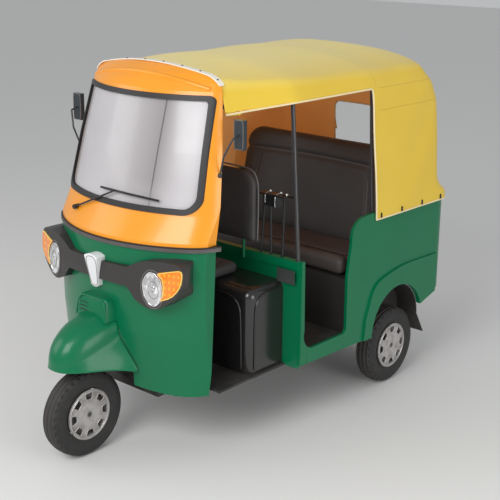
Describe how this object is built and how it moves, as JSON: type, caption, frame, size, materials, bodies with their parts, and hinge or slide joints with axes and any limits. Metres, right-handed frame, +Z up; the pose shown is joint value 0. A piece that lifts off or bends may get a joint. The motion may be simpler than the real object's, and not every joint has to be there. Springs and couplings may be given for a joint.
{
  "type": "auto rickshaw",
  "caption": "Three-wheeled passenger taxi: closed front cab, open doorways, rear bench, cloth hood, turning wheels, handlebar steering and hinged engine lid.",
  "frame": {"origin": "centre of the footprint box on the ground, on the vehicle's middle plane", "axes": "+X to the vehicle's left (kerb side), +Y to the rear, the nose faces -Y, +Z up"},
  "size_m": [1.4346, 2.73, 2.0639],
  "materials": {
    "green_paint": "gloss",
    "yellow_paint": "gloss",
    "black_trim": "satin",
    "black_moulding": "satin",
    "black_steel": "satin",
    "floor_mat": "ribbed",
    "seal_rubber": "matte",
    "screen_glass": "clear",
    "lamp_lens": "clear",
    "amber_lens": "clear amber",
    "tail_lens": "clear red",
    "silver_trim": "silver",
    "cream_trim": "satin",
    "seat_vinyl": "grained",
    "hood_fabric": "coated cloth",
    "cast_metal": "cast",
    "exhaust_steel": "sooty",
    "tyre_rubber": "tread",
    "wheel_silver": "silver paint"
  },
  "bodies": {
    "vehicle": {"chassis_frame": "black_steel", "driver_floor": "black_steel", "cabin_floor": "floor_mat", "wheel_house": "black_steel", "front_cowl": "green_paint", "windscreen_surround": "yellow_paint", "belt_moulding": "black_trim", "windscreen_seal": "seal_rubber", "windscreen_glass": "screen_glass", "lamp_bezel": "black_trim", "headlamps": "lamp_lens", "front_indicators": "amber_lens", "badge_shield": "silver_trim", "front_mudguard": "green_paint", "dashboard": "black_trim", "partition_panel": "green_paint", "driver_seat_box": "black_moulding", "driver_cushion": "seat_vinyl", "driver_backrest": "seat_vinyl", "side_panels": "green_paint", "rear_mudguards": "black_moulding", "rear_panel": "green_paint", "tail_lamps": "tail_lens", "bench_box": "black_moulding", "luggage_shelf": "black_steel", "bench_cushion": "seat_vinyl", "bench_backrest": "seat_vinyl", "hood_roof": "hood_fabric", "hood_quarters": "hood_fabric", "hood_rear": "hood_fabric", "roof_trim_strip": "cream_trim", "hood_frame": "black_steel", "wiper": "black_steel", "mirrors": "black_trim", "meter_stand": "black_steel", "engine_block": "cast_metal", "silencer": "exhaust_steel", "rear_swing_arms": "black_steel"},
    "steering": {"steering_column": "black_steel", "front_swing_arm": "black_steel", "handlebar": "black_steel", "handlebar_grips": "black_moulding"},
    "front_wheel_body": {"front_tyre": "tyre_rubber", "front_wheel": "wheel_silver"},
    "rear_left_wheel_body": {"rear_left_tyre": "tyre_rubber", "rear_left_wheel": "wheel_silver"},
    "rear_right_wheel_body": {"rear_right_tyre": "tyre_rubber", "rear_right_wheel": "wheel_silver"},
    "lid": {"engine_lid": "green_paint"}
  },
  "joints": [
    {"name": "steer", "type": "hinge", "parent": "vehicle", "child": "steering", "pos_m": [0, -1.095, 0.24], "axis": [0, 0.3746, 0.9272], "range_deg": [-40, 40]},
    {"name": "front_wheel_spin", "type": "hinge", "parent": "steering", "child": "front_wheel_body", "pos_m": [0, -1.125, 0.24], "axis": [1, 0, 0], "continuous": true},
    {"name": "rear_left_wheel_spin", "type": "hinge", "parent": "vehicle", "child": "rear_left_wheel_body", "pos_m": [0.61, 0.795, 0.24], "axis": [1, 0, 0], "continuous": true},
    {"name": "rear_right_wheel_spin", "type": "hinge", "parent": "vehicle", "child": "rear_right_wheel_body", "pos_m": [-0.61, 0.795, 0.24], "axis": [1, 0, 0], "continuous": true},
    {"name": "engine_lid_hinge", "type": "hinge", "parent": "vehicle", "child": "lid", "pos_m": [0, 1.315, 0.903], "axis": [1, 0, 0], "range_deg": [0, 75]}
  ]
}
